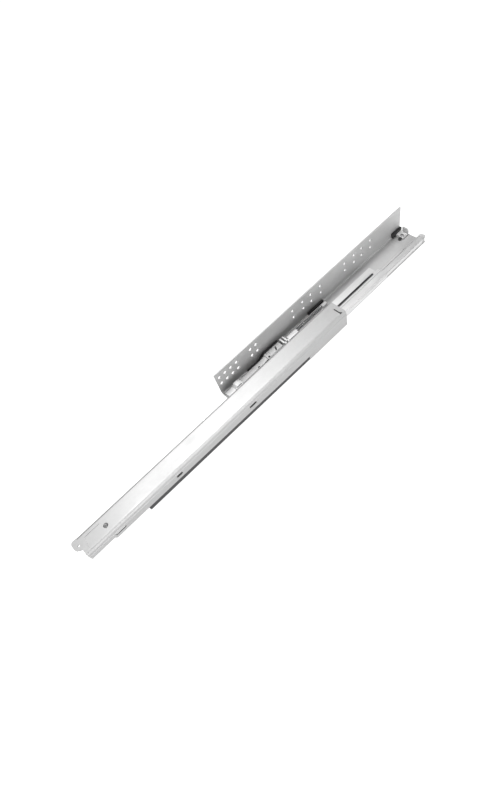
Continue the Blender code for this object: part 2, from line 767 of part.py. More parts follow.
def wall_cutters():
    """What is taken from the right wall: its shallow nose, the strip's place and three slots."""
    inner = DRAWER_RIGHT - DRAWER_SHEET - 1.0 * MM
    outer = DRAWER_RIGHT + 1.0 * MM
    below = -1.0 * MM
    profile = [
        (-1.0 * MM, below),
        (STRIP_END, below),
        (STRIP_END, WALL_FOOT_REAR),
        (STRIP_START, WALL_FOOT),
        (NOSE_LENGTH + 2.0 * MM, WALL_FOOT),
        (NOSE_LENGTH, NOSE_WALL_FOOT),
        (-1.0 * MM, NOSE_WALL_FOOT),
    ]
    cutters = [prism_mesh("foot", profile, inner, outer, along_x)]
    slots = ((40.0, 16.6, 14.0, 3.4), (123.5, 16.4, 8.5, 4.0), (237.5, 17.0, 11.0, 3.8))
    for y, z, length, width in slots:
        outline = slot_outline((y * MM, z * MM), length * MM, width * MM)
        cutters.append(prism_mesh("slot", outline, inner, outer, along_x))
    return cutters


def top_cutters():
    """Front hole, lug hole and the L-shaped slot near the rear."""
    low = DRAWER_TOP - DRAWER_SHEET - 1.0 * MM
    high = DRAWER_TOP + 1.0 * MM
    rear_slot = [
        (38.0 * MM, 392.4 * MM),
        (49.4 * MM, 392.4 * MM),
        (49.4 * MM, 395.4 * MM),
        (47.6 * MM, 395.4 * MM),
        (47.6 * MM, 393.9 * MM),
        (38.0 * MM, 393.9 * MM),
    ]
    return [
        prism_mesh("hole", circle((40.3 * MM, 32.3 * MM), 2.9 * MM, 16), low, high, along_z),
        prism_mesh("hole", circle((36.0 * MM, -0.9 * MM), 1.3 * MM, 10), low, high, along_z),
        prism_mesh("slot", rear_slot, low, high, along_z),
    ]


def make_guide_strip(parent, material):
    """Nylon strip under the right wall; a hook on its inside runs below the middle member's bead."""
    face = DRAWER_RIGHT - 0.2 * MM
    inside = DRAWER_RIGHT - DRAWER_SHEET - GAP
    end = STRIP_END - GAP
    outline = [
        (STRIP_START, 3.4 * MM),
        (end, 1.6 * MM),
        (end, WALL_FOOT_REAR - GAP),
        (STRIP_START, WALL_FOOT - GAP),
    ]
    mesh = prism_mesh("guide_strip", outline, inside - 0.6 * MM, face, along_x)
    strip = add_object("guide_strip", mesh, material, parent)
    hook = [
        (inside, 4.6 * MM),
        (inside, 12.0 * MM),
        (inside - 1.2 * MM, 12.0 * MM),
        (inside - 1.2 * MM, 11.2 * MM),
        (47.4 * MM, 11.2 * MM),
        (47.4 * MM, 9.9 * MM),
        (inside - 1.2 * MM, 9.9 * MM),
        (inside - 1.2 * MM, 4.6 * MM),
    ]
    mesh = prism_mesh("hook", hook, STRIP_START + 0.2 * MM, end - 0.2 * MM, along_y)
    unite(strip, "hook", mesh)


def make_striker(parent, material):
    """Plate on the left wall with a finger that reaches over the catch."""
    middle = STRIKER_PLACE
    right = DRAWER_LEFT - GAP
    plate_low = (right - 1.5 * MM, middle - 6.0 * MM, 11.0 * MM)
    plate_high = (right, middle + 6.0 * MM, 21.0 * MM)
    plate = box_mesh("catch_striker", plate_low, plate_high)
    striker = add_object("catch_striker", plate, material, parent)
    finger_low = (14.7 * MM, middle - 1.2 * MM, 12.2 * MM)
    finger_high = (right - 0.7 * MM, middle + 1.2 * MM, 13.7 * MM)
    unite(striker, "finger", box_mesh("finger", finger_low, finger_high))


def plug_section(low):
    """Cross-section of a plug under the top plate, with its right corner clear of the wide bend."""
    left = DRAWER_LEFT + 3.3 * MM
    right = DRAWER_RIGHT - 3.0 * MM
    top = DRAWER_TOP - DRAWER_SHEET - GAP
    return [(left, low), (right, low), (right, top - 3.0 * MM), (right - 2.4 * MM, top), (left, top)]


def make_front_plug(parent, material):
    """Plug inside the channel's front end, bored under the top plate's front hole."""
    mesh = prism_mesh("front_plug", plug_section(17.6 * MM), 0.5 * MM, 38.0 * MM, along_y)
    plug = add_object("front_plug", mesh, material, parent)
    bore = circle((40.3 * MM, 32.3 * MM), 2.9 * MM, 16)
    cut(plug, [prism_mesh("bore", bore, 19.0 * MM, 26.0 * MM, along_z)])
    smooth(plug)


def make_rear_plug(parent, material):
    """Black plug inside the channel's rear end, under the L-shaped slot."""
    mesh = prism_mesh("rear_plug", plug_section(17.8 * MM), 390.0 * MM, 398.5 * MM, along_y)
    add_object("rear_plug", mesh, material, parent)


# ---------------------------------------------------------------- roller cages


def make_cage(name, parent, material, section, length, window, places):
    """A strip of the given cross-section with one window for each roller."""
    half_length = length / 2
    mesh = prism_mesh(name, section, -half_length, half_length, along_y)
    cage = add_object(name, mesh, material, parent)
    centre_x, half_width, half_run, low, high = window
    cutters = []
    for y in places:
        near = (centre_x - half_width, y - half_run, low)
        far = (centre_x + half_width, y + half_run, high)
        cutters.append(box_mesh("window", near, far))
    return cage, cutters


def make_upper_cage(parent, material):
    left = 28.0 * MM
    right = 49.3 * MM
    top = 22.6 * MM
    deck = 18.2 * MM
    skirt = 13.0 * MM
    wall = 1.4 * MM
    section = [
        (left, skirt),
        (left + wall, skirt),
        (left + wall + 1.0 * MM, deck),
        (right - wall - 1.0 * MM, deck),
        (right - wall, skirt),
        (right, skirt),
        (right, top - 1.0 * MM),
        (right - 1.0 * MM, top),
        (left + 1.0 * MM, top),
        (left, top - 1.0 * MM),
    ]
    half_width = UPPER_ROLLER_WIDTH / 2 + 0.4 * MM
    half_run = UPPER_ROLLER_RADIUS + 0.5 * MM
    window = (middle_x(), half_width, half_run, 10.0 * MM, 24.0 * MM)
    length = UPPER_CAGE_LENGTH
    cage, windows = make_cage("upper_cage", parent, material, section, length, window, ROLLER_PLACES)
    axle_holes = []
    for y in ROLLER_PLACES:
        outline = circle((y, upper_roller_z()), 1.35 * MM, 10)
        near = middle_x() - half_width - 2.0 * MM
        far = middle_x() + half_width + 2.0 * MM
        axle_holes.append(prism_mesh("axle_hole", outline, near, far, along_x))
    cut(cage, axle_holes, "axle_cutter")
    cut(cage, windows, "window_cutter")


def make_lower_cage(parent, material):
    low = 12.5 * MM
    high = 14.2 * MM
    section = [
        (33.0 * MM, 10.6 * MM),
        (34.5 * MM, 10.6 * MM),
        (34.5 * MM, low),
        (44.1 * MM, low),
        (44.1 * MM, 10.6 * MM),
        (45.2 * MM, 10.6 * MM),
        (45.2 * MM, high),
        (36.4 * MM, high),
        (35.6 * MM, high - 0.6 * MM),
        (33.0 * MM, high - 0.6 * MM),
    ]
    half_width = LOWER_ROLLER_WIDTH / 2 + 0.3 * MM
    half_run = LOWER_ROLLER_RADIUS + 0.25 * MM
    window = (rail_x(), half_width, half_run, 10.0 * MM, 16.0 * MM)
    length = LOWER_CAGE_LENGTH
    cage, cutters = make_cage("lower_cage", parent, material, section, length, window, ROLLER_PLACES)
    cut(cage, cutters)


def middle_x():
    return (MIDDLE_LEFT + MIDDLE_RIGHT) / 2


def rail_x():
    return (RAIL_LEFT + RAIL_RIGHT) / 2


def upper_roller_z():
    """Midway between the middle member's top and the drawer member's underside."""
    return (MIDDLE_TOP + DRAWER_TOP - DRAWER_SHEET) / 2


def lower_roller_z():
    """Midway between the rail's top and the middle member's underside."""
    return (RAIL_TOP + MIDDLE_TOP - MIDDLE_SHEET) / 2


def make_rollers(name, parent, material, profile, steps, x, z):
    """One roller for each window, each with its origin on its own axis."""
    for number, y in enumerate(ROLLER_PLACES, start=1):
        mesh = turned_mesh(name, profile, steps, along_x)
        roller = add_object("%s_%d" % (name, number), mesh, material, parent, (x, y, z))
        smooth(roller)


def make_upper_rollers(parent, material):
    half = UPPER_ROLLER_WIDTH / 2
    r = UPPER_ROLLER_RADIUS
    pin = 1.05 * MM
    profile = [
        (pin, -half - 2.0 * MM),
        (pin, -half),
        (r - 0.4 * MM, -half),
        (r, -half + 0.4 * MM),
        (r, half - 0.4 * MM),
        (r - 0.4 * MM, half),
        (pin, half),
        (pin, half + 2.0 * MM),
    ]
    make_rollers("upper_roller", parent, material, profile, 24, middle_x(), upper_roller_z())


def make_lower_rollers(parent, material):
    half = LOWER_ROLLER_WIDTH / 2
    r = LOWER_ROLLER_RADIUS
    profile = [(r - 0.2 * MM, -half), (r, -half + 0.2 * MM), (r, half - 0.2 * MM), (r - 0.2 * MM, half)]
    make_rollers("lower_roller", parent, material, profile, 20, rail_x(), lower_roller_z())


# ---------------------------------------------------------------- assembly


def main():
    clear_scene()
    finish = make_materials()
    datum = (0.0, -BRACKET_LENGTH / 2, -FLANGE_HEIGHT / 2)

    cabinet = add_frame("cabinet_frame", None, datum)
    make_bracket(cabinet, finish["zinc_bracket"])
    make_rail(cabinet, finish["zinc_sheet"])
    make_rail_end_cap(cabinet, finish["light_plastic"])
    make_rail_rivets(cabinet, finish["steel_pin"])
    make_rear_stop(cabinet, finish["black_plastic"])
    make_rear_stop_buffer(cabinet, finish["black_plastic"])
    make_rear_stop_seat(cabinet, finish["grey_plastic"], finish["steel_pin"], finish["light_plastic"])
    make_closer_tray(cabinet, finish["light_plastic"])
    make_closer_front_block(cabinet, finish["light_plastic"])
    make_damper_casing(cabinet, finish["light_plastic"])
    make_closer_cover(cabinet, finish["light_plastic"])
    make_closer_side_bar(cabinet, finish["black_plastic"])
    make_closer_spring(cabinet, finish["steel_pin"])
    make_closer_end_block(cabinet, finish["black_plastic"])
    make_spring_anchor(cabinet, finish["grey_plastic"])
    make_closer_rear_floor(cabinet, finish["grey_plastic"])

    catch = add_frame("catch_frame", cabinet, (0.0, CATCH_FRONT, 0.0))
    make_catch(catch, finish["light_plastic"])
    make_damper_rod(catch, finish["steel_pin"])

    middle = add_frame("middle_frame", cabinet, (0.0, MIDDLE_REAR - MIDDLE_LENGTH, 0.0))
    make_middle(middle, finish["zinc_sheet"])
    make_shoulder_strip(middle, finish["black_plastic"])
    make_middle_buffer(middle, finish["black_plastic"])

    drawer = add_frame("drawer_frame", cabinet, (0.0, DRAWER_FRONT, 0.0))
    make_drawer_member(drawer, finish["zinc_sheet"])
    make_guide_strip(drawer, finish["black_plastic"])
    make_striker(drawer, finish["steel_pin"])
    make_front_plug(drawer, finish["light_plastic"])
    make_rear_plug(drawer, finish["black_plastic"])

    upper = add_frame("upper_cage_frame", cabinet, (0.0, UPPER_CAGE_CENTRE, 0.0))
    make_upper_cage(upper, finish["black_plastic"])
    make_upper_rollers(upper, finish["roller_plastic"])

    lower = add_frame("lower_cage_frame", cabinet, (0.0, LOWER_CAGE_CENTRE, 0.0))
    make_lower_cage(lower, finish["light_plastic"])
    make_lower_rollers(lower, finish["steel_pin"])


main()
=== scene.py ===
"""Looks of the concealed drawer slide: bent sheet steel, moulded plastic, rollers, spring and studio."""

import math

import bmesh
import bpy
from mathutils import Matrix, Vector


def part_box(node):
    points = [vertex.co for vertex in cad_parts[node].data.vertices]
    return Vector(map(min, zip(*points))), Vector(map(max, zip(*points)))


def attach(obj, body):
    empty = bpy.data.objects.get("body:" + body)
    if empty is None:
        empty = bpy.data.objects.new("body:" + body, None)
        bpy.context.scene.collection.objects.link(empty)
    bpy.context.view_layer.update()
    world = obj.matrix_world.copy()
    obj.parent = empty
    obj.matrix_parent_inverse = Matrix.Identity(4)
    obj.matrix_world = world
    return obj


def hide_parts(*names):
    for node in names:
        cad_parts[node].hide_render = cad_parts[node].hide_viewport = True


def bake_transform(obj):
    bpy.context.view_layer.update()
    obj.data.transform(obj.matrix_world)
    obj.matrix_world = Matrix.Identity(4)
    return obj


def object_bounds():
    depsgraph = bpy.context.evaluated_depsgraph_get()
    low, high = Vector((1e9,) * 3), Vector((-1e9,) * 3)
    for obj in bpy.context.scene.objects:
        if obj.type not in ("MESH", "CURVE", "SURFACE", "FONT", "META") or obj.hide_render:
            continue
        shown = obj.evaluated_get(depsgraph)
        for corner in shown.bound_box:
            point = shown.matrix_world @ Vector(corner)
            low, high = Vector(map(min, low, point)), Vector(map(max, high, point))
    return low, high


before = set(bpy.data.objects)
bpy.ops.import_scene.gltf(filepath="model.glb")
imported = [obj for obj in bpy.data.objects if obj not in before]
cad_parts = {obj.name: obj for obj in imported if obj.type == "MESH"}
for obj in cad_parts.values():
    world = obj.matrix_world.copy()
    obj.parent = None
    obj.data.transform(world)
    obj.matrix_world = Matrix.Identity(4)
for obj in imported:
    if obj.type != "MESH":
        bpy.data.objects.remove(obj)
CAD_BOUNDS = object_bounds()

MM = 0.001
# Lengths below are in metres from the bracket's front lower outer corner, as in the design.
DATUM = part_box("mounting_bracket")[0]
BRACKET_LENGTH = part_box("mounting_bracket")[1].y - DATUM.y
STRIP_START = 76.0 * MM
STRIP_END = 331.5 * MM
DRAWER_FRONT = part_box("guide_strip")[0].y - DATUM.y - STRIP_START
DRAWER_LENGTH = 400.0 * MM
MIDDLE_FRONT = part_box("middle_member")[0].y - DATUM.y
MIDDLE_LENGTH = 396.0 * MM

BEND_STEPS = 10
HOLE_STEPS = 32
SHARP_EDGE_ANGLE = 38


# ---------------------------------------------------------------- shape helpers


def arc(centre, radius, start_degrees, end_degrees, steps):
    points = []
    for i in range(steps + 1):
        angle = math.radians(start_degrees + (end_degrees - start_degrees) * i / steps)
        x = centre[0] + radius * math.cos(angle)
        y = centre[1] + radius * math.sin(angle)
        points.append(Vector((x, y)))
    return points


def circle(centre, radius):
    return arc(centre, radius, 0, 360 * (HOLE_STEPS - 1) / HOLE_STEPS, HOLE_STEPS - 1)


def slot_outline(centre, length, width, steps=10):
    """A round-ended slot that runs along the first axis."""
    half = max(0.0, (length - width) / 2)
    right = arc((centre[0] + half, centre[1]), width / 2, -90, 90, steps)
    left = arc((centre[0] - half, centre[1]), width / 2, 90, 270, steps)
    return right + left


def rounded(corners, radius, steps):
    """A closed outline with every corner rounded."""
    points = []
    count = len(corners)
    for i, corner in enumerate(corners):
        here = Vector(corner)
        before = (Vector(corners[i - 1]) - here).normalized()
        after = (Vector(corners[(i + 1) % count]) - here).normalized()
        points += corner_arc(here, before, after, radius, steps)
    return points


def corner_arc(here, before, after, radius, steps):
    half = before.angle(after) / 2
    setback = radius / math.tan(half)
    middle = here + (before + after).normalized() * (radius / math.sin(half))
    start = here + before * setback - middle
    turn = start.angle_signed(here + after * setback - middle)
    points = []
    for i in range(steps + 1):
        angle = -turn * i / steps
        spun_x = start.x * math.cos(angle) - start.y * math.sin(angle)
        spun_y = start.x * math.sin(angle) + start.y * math.cos(angle)
        points.append(middle + Vector((spun_x, spun_y)))
    return points


def sheet_outline(corners, thickness, radius, steps=BEND_STEPS):
    """The closed outline of a folded sheet; a centre-line corner may carry its own radius."""
    line = [Vector(corners[0][:2])]
    for before, corner, after in zip(corners, corners[1:], corners[2:]):
        here = Vector(corner[:2])
        own = corner[2] if len(corner) > 2 else radius
        towards = (Vector(before[:2]) - here).normalized()
        away = (Vector(after[:2]) - here).normalized()
        line += corner_arc(here, towards, away, own, steps)
    line.append(Vector(corners[-1][:2]))
    left = []
    right = []
    for i, point in enumerate(line):
        ahead = (line[i + 1] - point).normalized() if i + 1 < len(line) else None
        behind = (point - line[i - 1]).normalized() if i else None
        if ahead is None or behind is None:
            normal = Vector((-(ahead or behind).y, (ahead or behind).x))
            reach = thickness / 2
        else:
            direction = (ahead + behind).normalized()
            normal = Vector((-direction.y, direction.x))
            reach = thickness / 2 / max(0.5, direction.dot(ahead))
        left.append(point + normal * reach)
        right.append(point - normal * reach)
    return left + right[::-1]


def along_y(u, v, along):
    return (u, along, v)


def along_x(u, v, along):
    return (along, u, v)


def along_z(u, v, along):
    return (u, v, along)


def add_prism(shape, outline, start, end, place):
    """Adds the outline carried from start to end as a closed solid."""
    first = [shape.verts.new(place(p[0], p[1], start)) for p in outline]
    last = [shape.verts.new(place(p[0], p[1], end)) for p in outline]
    count = len(outline)
    faces = [shape.faces.new(first), shape.faces.new(last[::-1])]
    for i in range(count):
        j = (i + 1) % count
        faces.append(shape.faces.new((first[i], last[i], last[j], first[j])))
    bmesh.ops.recalc_face_normals(shape, faces=faces)


def new_object(name, shape, offset=(0.0, 0.0, 0.0)):
    """Turns the bmesh into an object; offset is the shape's own datum, from the slide's datum."""
    mesh = bpy.data.meshes.new(name)
    bmesh.ops.translate(shape, verts=shape.verts, vec=DATUM + Vector(offset))
    shape.to_mesh(mesh)
    shape.free()
    obj = bpy.data.objects.new(name, mesh)
    bpy.context.scene.collection.objects.link(obj)
    return obj


def solid(name, outline, start, end, place, offset=(0.0, 0.0, 0.0)):
    shape = bmesh.new()
    add_prism(shape, outline, start, end, place)
    return new_object(name, shape, offset)


def boolean(obj, other, operation):
    """Applies a Boolean at once and removes the helper."""
    modifier = obj.modifiers.new("boolean", "BOOLEAN")
    modifier.operation = operation
    modifier.object = other
    modifier.solver = "EXACT"
    bake_modifiers(obj)
    bpy.data.objects.remove(other, do_unlink=True)


def bake_modifiers(obj):
    graph = bpy.context.evaluated_depsgraph_get()
    baked = bpy.data.meshes.new_from_object(obj.evaluated_get(graph))
    obj.modifiers.clear()
    obj.data = baked


def cut(obj, prisms, offset=(0.0, 0.0, 0.0)):
    """Cuts (outline, start, end, place) prisms, none of which touch one another."""
    shape = bmesh.new()
    for outline, start, end, place in prisms:
        add_prism(shape, outline, start, end, place)
    boolean(obj, new_object("cutter", shape, offset), "DIFFERENCE")


def finish(obj, body, node, material, edge=0.12 * MM, segments=2, angle=30):
    """Softens the edges, gives the material, and puts the piece in place of its CAD node."""
    modifier = obj.modifiers.new("edges", "BEVEL")
    modifier.width = edge
    modifier.segments = segments
    modifier.limit_method = "ANGLE"
    modifier.angle_limit = math.radians(angle)
    modifier.use_clamp_overlap = True
    bake_modifiers(obj)
    obj.data.shade_smooth()
    obj.data.set_sharp_from_angle(angle=math.radians(SHARP_EDGE_ANGLE))
    weighted = obj.modifiers.new("even_shading", "WEIGHTED_NORMAL")
    weighted.keep_sharp = True
    bake_modifiers(obj)
    obj.data.materials.clear()
    obj.data.materials.append(material)
    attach(obj, body)
    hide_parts(node)


# ---------------------------------------------------------------- materials


class Nodes:
    """Short names for building one material."""

    def __init__(self, name):
        self.material = bpy.data.materials.new(name)
        self.material.use_nodes = True
        self.tree = self.material.node_tree
        self.shader = self.tree.nodes["Principled BSDF"]
        coordinates = self.tree.nodes.new("ShaderNodeTexCoord")
        self.place = coordinates.outputs["Object"]

    def node(self, kind, **values):
        made = self.tree.nodes.new(kind)
        for key, value in values.items():
            setattr(made, key, value)
        return made

    def link(self, source, target):
        self.tree.links.new(source, target)

    def scaled(self, scale):
        mapping = self.node("ShaderNodeMapping")
        mapping.inputs["Scale"].default_value = scale
        self.link(self.place, mapping.inputs["Vector"])
        return mapping.outputs["Vector"]

    def noise(self, scale, detail=4.0, roughness=0.6, distortion=0.0):
        """Noise whose scale is in features per metre along X, Y and Z."""
        noise = self.node("ShaderNodeTexNoise")
        noise.inputs["Scale"].default_value = 1.0
        noise.inputs["Detail"].default_value = detail
        noise.inputs["Roughness"].default_value = roughness
        noise.inputs["Distortion"].default_value = distortion
        self.link(self.scaled(scale), noise.inputs["Vector"])
        return noise.outputs["Fac"]

    def cells(self, scale):
        cells = self.node("ShaderNodeTexVoronoi")
        cells.inputs["Scale"].default_value = 1.0
        self.link(self.scaled(scale), cells.inputs["Vector"])
        return cells.outputs["Color"]

    def spread(self, value, low, high, to_low=0.0, to_high=1.0):
        remap = self.node("ShaderNodeMapRange")
        remap.inputs["From Min"].default_value = low
        remap.inputs["From Max"].default_value = high
        remap.inputs["To Min"].default_value = to_low
        remap.inputs["To Max"].default_value = to_high
        self.link(value, remap.inputs["Value"])
        return remap.outputs["Result"]

    def maths(self, operation, a, b):
        maths = self.node("ShaderNodeMath", operation=operation)
        for socket, value in zip(maths.inputs, (a, b)):
            if isinstance(value, (int, float)):
                socket.default_value = value
            else:
                self.link(value, socket)
        return maths.outputs[0]

    def blend(self, amount, first, second):
        mix = self.node("ShaderNodeMix", data_type="RGBA")
        for socket, value in ((mix.inputs[6], first), (mix.inputs[7], second)):
            if isinstance(value, tuple):
                socket.default_value = (*value, 1.0)
            else:
                self.link(value, socket)
        self.link(amount, mix.inputs[0])
        return mix.outputs[2]

    def bump(self, height, strength, distance, after=None):
        bump = self.node("ShaderNodeBump")
        bump.inputs["Strength"].default_value = strength
        bump.inputs["Distance"].default_value = distance
        self.link(height, bump.inputs["Height"])
        if after is not None:
            self.link(after, bump.inputs["Normal"])
        return bump.outputs["Normal"]

    def set(self, **values):
        for key, value in values.items():
            socket = self.shader.inputs[key.replace("_", " ")]
            if isinstance(value, tuple):
                socket.default_value = (*value, 1.0)
            elif isinstance(value, (int, float)):
                socket.default_value = value
            else:
                self.link(value, socket)


def grey(level):
    return (level, level, level)


def zinc(name, light, dark, rough_low, rough_high, metallic):
    """Zinc-plated sheet: rolled grain along the length, soft clouding, fine scratches."""
    n = Nodes(name)
    grain_lines = n.noise((2600, 26, 2600), 3.0, 0.65)
    clouds = n.noise((60, 22, 60), 5.0, 0.55, 0.4)
    crystals = n.cells((420, 300, 420))
    scratches = n.noise((900, 2600, 900), 2.0, 0.7, 1.5)
    marks = n.spread(scratches, 0.66, 0.72)
    crystal_value = n.node("ShaderNodeRGBToBW")
    n.link(crystals, crystal_value.inputs[0])
    tone = n.maths("ADD", n.maths("MULTIPLY", clouds, 0.6), n.maths("MULTIPLY", grain_lines, 0.25))
    tone = n.maths("ADD", tone, n.maths("MULTIPLY", crystal_value.outputs[0], 0.15))
    colour = n.blend(n.spread(tone, 0.3, 0.7), dark, light)
    brighter = tuple(min(1.0, c * 1.1) for c in light)
    colour = n.blend(n.maths("MULTIPLY", marks, 0.3), colour, brighter)
    wear = n.maths("ADD", n.maths("MULTIPLY", grain_lines, 0.5), clouds)
    rough = n.spread(wear, 0.5, 1.0, rough_low, rough_high)
    relief = n.bump(grain_lines, 0.08, 0.00006)
    relief = n.bump(crystal_value.outputs[0], 0.05, 0.00004, relief)
    relief = n.bump(marks, 0.06, 0.00004, relief)
    n.set(Base_Color=colour, Metallic=metallic, Roughness=rough, Normal=relief)
    return n.material


def plastic(name, light, dark, rough_low, rough_high):
    """Moulded plastic: fine spark-eroded grain, faint flow marks and rubbed sheen."""
    n = Nodes(name)
    grain = n.noise((4000, 4000, 4000), 3.0, 0.6)
    flow = n.noise((90, 30, 90), 4.0, 0.5, 0.8)
    colour = n.blend(n.spread(flow, 0.35, 0.65), dark, light)
    rough = n.spread(n.maths("ADD", n.maths("MULTIPLY", grain, 0.3), flow), 0.4, 0.9,
                     rough_low, rough_high)
    relief = n.bump(grain, 0.22, 0.00004)
    relief = n.bump(flow, 0.05, 0.0003, relief)
    n.set(Base_Color=colour, Roughness=rough, Normal=relief)
    return n.material


def turned_steel(name, colour, lines):
    """Bright steel with fine machining lines around the given axis."""
    n = Nodes(name)
    cut_lines = n.noise(lines, 3.0, 0.7)
    stain = n.noise((300, 300, 300), 4.0, 0.6)
    dark = tuple(c * 0.8 for c in colour)
    shade = n.blend(n.spread(stain, 0.35, 0.65), dark, colour)
    rough = n.spread(cut_lines, 0.3, 0.7, 0.18, 0.36)
    relief = n.bump(cut_lines, 0.15, 0.00003)
    n.set(Base_Color=shade, Metallic=1.0, Roughness=rough, Normal=relief)
    return n.material


# Light and dark shade, lowest and highest roughness, and for zinc how metallic it is.
ZINC = zinc("zinc_sheet_look", grey(0.70), grey(0.63), 0.50, 0.62, 0.85)
# The drawer member's zinc is a darker copy of the same sheet. Its extra darkness is painted shade, which
# tones down the light on the member.
ZINC_DRAWER_SHADED = zinc("zinc_drawer_look", grey(0.46), grey(0.41), 0.50, 0.62, 0.85)
ZINC_DULL = zinc("zinc_bracket_look", grey(0.54), grey(0.48), 0.52, 0.64, 0.55)
PIN = turned_steel("steel_pin_look", (0.78, 0.78, 0.79), (400, 9000, 400))
SPRING_STEEL = turned_steel("spring_steel_look", (0.62, 0.62, 0.63), (3000, 3000, 3000))
LIGHT_PLASTIC = plastic("light_plastic_look", grey(0.66), grey(0.59), 0.38, 0.55)
CASING_PLASTIC = plastic("casing_plastic_look", grey(0.46), grey(0.39), 0.38, 0.55)
GREY_PLASTIC = plastic("grey_plastic_look", grey(0.44), grey(0.38), 0.38, 0.55)
DARK_GREY_PLASTIC = plastic("dark_grey_plastic_look", grey(0.58), grey(0.50), 0.45, 0.6)
BLACK_PLASTIC = plastic("black_plastic_look", (0.022, 0.022, 0.024), (0.012, 0.012, 0.013), 0.35, 0.6)
ROLLER = plastic("roller_plastic_look", (0.84, 0.84, 0.80), (0.78, 0.78, 0.74), 0.22, 0.36)


# ---------------------------------------------------------------- cabinet side

BRACKET_SHEET = 1.5 * MM
BRACKET_BEND = 3.2 * MM
FLANGE_HEIGHT = 40.0 * MM
SHELF_WIDTH = 42.9 * MM
FRONT_HOLES = tuple((5.5 + 9.3 * i) * MM for i in range(4)) + (57.0 * MM, 66.3 * MM)
FRONT_HOLE_RADIUS = 2.3 * MM
DIAGONAL_GROUP_STARTS = (131.0 * MM, 228.5 * MM)
DIAGONAL_GROUP_STEPS = (0.0, 18.0 * MM, 33.0 * MM, 50.5 * MM)
DIAGONAL_HOLE_RADIUS = 2.05 * MM
HOLE_ROWS = (18.5 * MM, 30.0 * MM)
RIVET_LINE = 31.6 * MM
RIVET_PLACES = (24.0 * MM, 170.0 * MM, 312.0 * MM)
RIVET_HOLE_RADIUS = 1.6 * MM

RAIL_SHEET = 1.2 * MM
RAIL_TOP = 11.6 * MM
RAIL_RIGHT = 43.6 * MM
RAIL_FRONT = -51.5 * MM
RAIL_CAP_ROOM = 5.3 * MM
RAIL_GROOVE = 36.7 * MM
GROOVE_WIDTH = 1.3 * MM
GROOVE_DEPTH = 0.9 * MM


def make_bracket():
    half = BRACKET_SHEET / 2
    corners = [(half, FLANGE_HEIGHT), (half, half), (SHELF_WIDTH, half)]
    outline = sheet_outline(corners, BRACKET_SHEET, BRACKET_BEND)
    bracket = solid("bracket_sheet", outline, 0.0, BRACKET_LENGTH, along_y)
    columns = [(y, FRONT_HOLE_RADIUS) for y in FRONT_HOLES]
    for start in DIAGONAL_GROUP_STARTS:
        columns += [(start + step, DIAGONAL_HOLE_RADIUS) for step in DIAGONAL_GROUP_STEPS]
    holes = []
    for y, radius in columns:
        for z in HOLE_ROWS:
            holes.append((circle((y, z), radius), -3 * MM, 5 * MM, along_x))
    cut(bracket, holes + rivet_holes())
    finish(bracket, "cabinet", "mounting_bracket", ZINC_DULL)


def rivet_holes():
    """Holes through the bracket's shelf and the rail's foot, which the rivets fill."""
    holes = []
    for y in RIVET_PLACES:
        holes.append((circle((RIVET_LINE, y), RIVET_HOLE_RADIUS), -3 * MM, 6 * MM, along_z))
    return holes


def grooved(outline, centre, top):
    """The same outline with a groove with slanting sides pressed in its upper face, at height top."""
    half = GROOVE_WIDTH / 2
    points = []
    for point, following in zip(outline, outline[1:] + outline[:1]):
        points.append(point)
        level = abs(point.y - top) < 0.01 * MM and abs(following.y - top) < 0.01 * MM
        if not level or (point.x - centre) * (following.x - centre) > 0:
            continue
        side = 1 if point.x > centre else -1
        points += [
            Vector((centre + side * half, top)),
            Vector((centre + side * half * 0.8, top - GROOVE_DEPTH)),
            Vector((centre - side * half * 0.8, top - GROOVE_DEPTH)),
            Vector((centre - side * half, top)),
        ]
    return points


def make_rail():
    half = RAIL_SHEET / 2
    corners = [
        (28.6 * MM, 2.4 * MM),
        (37.0 * MM, 2.4 * MM),
        (37.0 * MM, 9.6 * MM, 0.5 * MM),
        (35.7 * MM, 10.5 * MM, 0.3 * MM),
        (35.7 * MM, RAIL_TOP - half, 0.3 * MM),
        (RAIL_RIGHT - half, RAIL_TOP - half, 0.5 * MM),
        (43.0 * MM, 10.5 * MM, 0.3 * MM),
        (41.7 * MM, 9.6 * MM, 0.5 * MM),
        (41.7 * MM, 1.8 * MM),
    ]
    outline = sheet_outline(corners, RAIL_SHEET, 0.7 * MM, 4)
    outline = grooved(outline, RAIL_GROOVE, RAIL_TOP)
    rail = solid("rail_sheet", outline, RAIL_FRONT, BRACKET_LENGTH - RAIL_CAP_ROOM, along_y)
    cut(rail, rivet_holes())
    finish(rail, "cabinet", "fixed_rail", ZINC, 0.08 * MM)


def refined(body, pieces):
    """Copies CAD nodes with whole flat faces and softened edges, from (node, material, edge in mm)."""
    for node, material, edge in pieces:
        shape = bmesh.new()
        shape.from_mesh(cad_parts[node].data)
        bmesh.ops.remove_doubles(shape, verts=shape.verts, dist=0.000002)
        bmesh.ops.dissolve_limit(
            shape, angle_limit=math.radians(0.5), verts=shape.verts, edges=shape.edges
        )
        bmesh.ops.recalc_face_normals(shape, faces=shape.faces)
        mesh = bpy.data.meshes.new(node + "_fine")
        shape.to_mesh(mesh)
        shape.free()
        obj = bpy.data.objects.new(node + "_fine", mesh)
        bpy.context.scene.collection.objects.link(obj)
        finish(obj, body, node, material, edge * MM, 3, 25)


